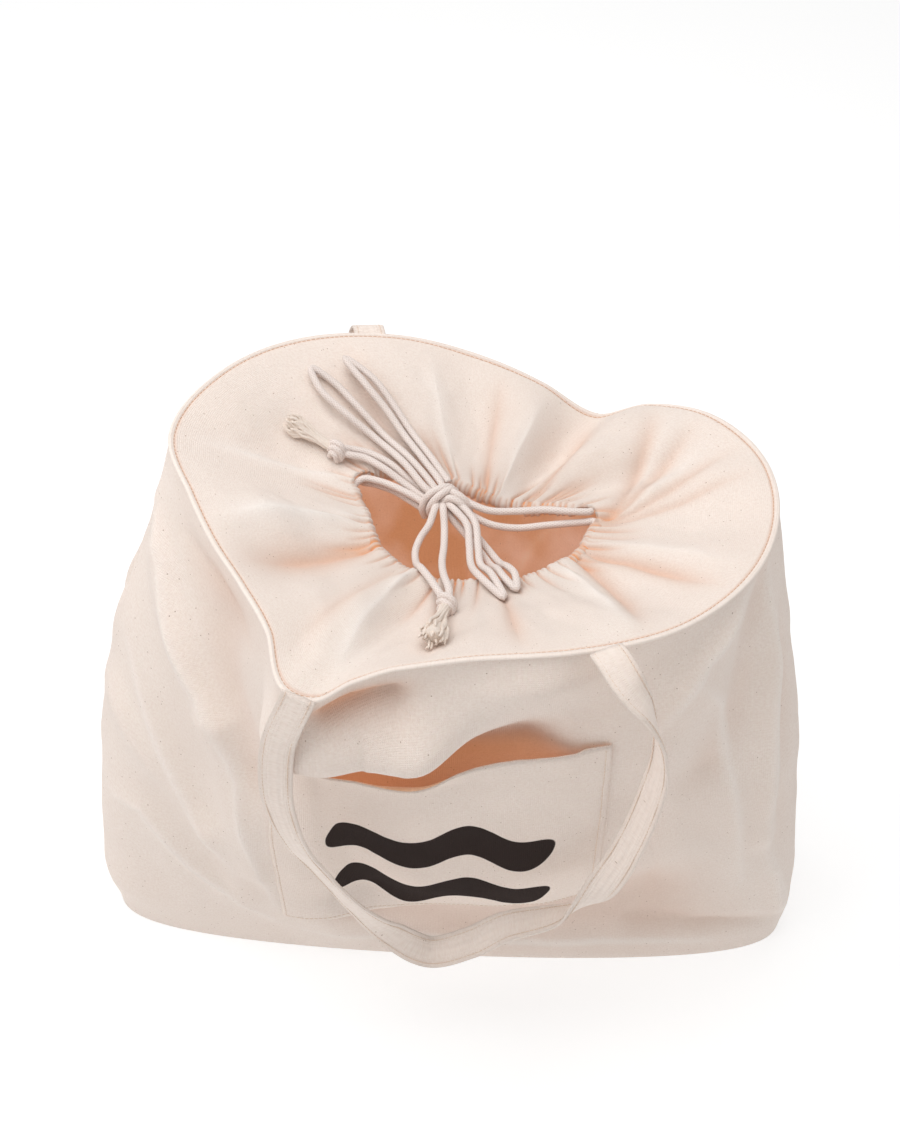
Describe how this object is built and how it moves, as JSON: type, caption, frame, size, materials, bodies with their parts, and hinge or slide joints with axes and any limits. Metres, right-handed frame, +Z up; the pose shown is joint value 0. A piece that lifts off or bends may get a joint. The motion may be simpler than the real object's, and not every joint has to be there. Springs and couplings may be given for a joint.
{
  "type": "drawstring shopper bag",
  "caption": "Soft canvas shopper bag with a flat base, a gathered collar drawn in by a cord tied in a bow, a patch pocket on the front and flat carrying handles.",
  "frame": {"origin": "on the floor under the middle of the bag's flat base", "axes": "+X along the base to the bag's right as seen from the pocket side, -Y towards the pocket side, +Z up to the mouth"},
  "size_m": [0.5339, 0.3665, 0.4121],
  "materials": {
    "canvas": "unbleached cotton canvas, matt, with small seed flecks",
    "printed_canvas": "unbleached cotton canvas, matt, with a plain dark brown printed pattern",
    "cotton_cord": "twisted natural cotton cord, matt"
  },
  "bodies": {
    "root": {"front_panel": "canvas", "back_panel": "canvas", "base_panel": "canvas", "collar": "canvas", "channel_front": "canvas", "channel_back": "canvas", "front_pocket": "printed_canvas", "handle_front": "canvas", "handle_back": "canvas", "cord_in_front": "cotton_cord", "cord_in_back": "cotton_cord", "cord_left_upper": "cotton_cord", "cord_left_lower": "cotton_cord", "cord_right_upper": "cotton_cord", "cord_right_lower": "cotton_cord", "bow_knot": "cotton_cord", "loop_back_outer": "cotton_cord", "loop_back_inner": "cotton_cord", "loop_front_outer": "cotton_cord", "loop_front_inner": "cotton_cord", "tail_left_upper": "cotton_cord", "tail_left_lower": "cotton_cord", "tail_front_outer": "cotton_cord", "tail_front_inner": "cotton_cord", "stopper_left": "cotton_cord", "stopper_front": "cotton_cord", "tassel_left": "cotton_cord", "tassel_front": "cotton_cord"}
  },
  "joints": []
}
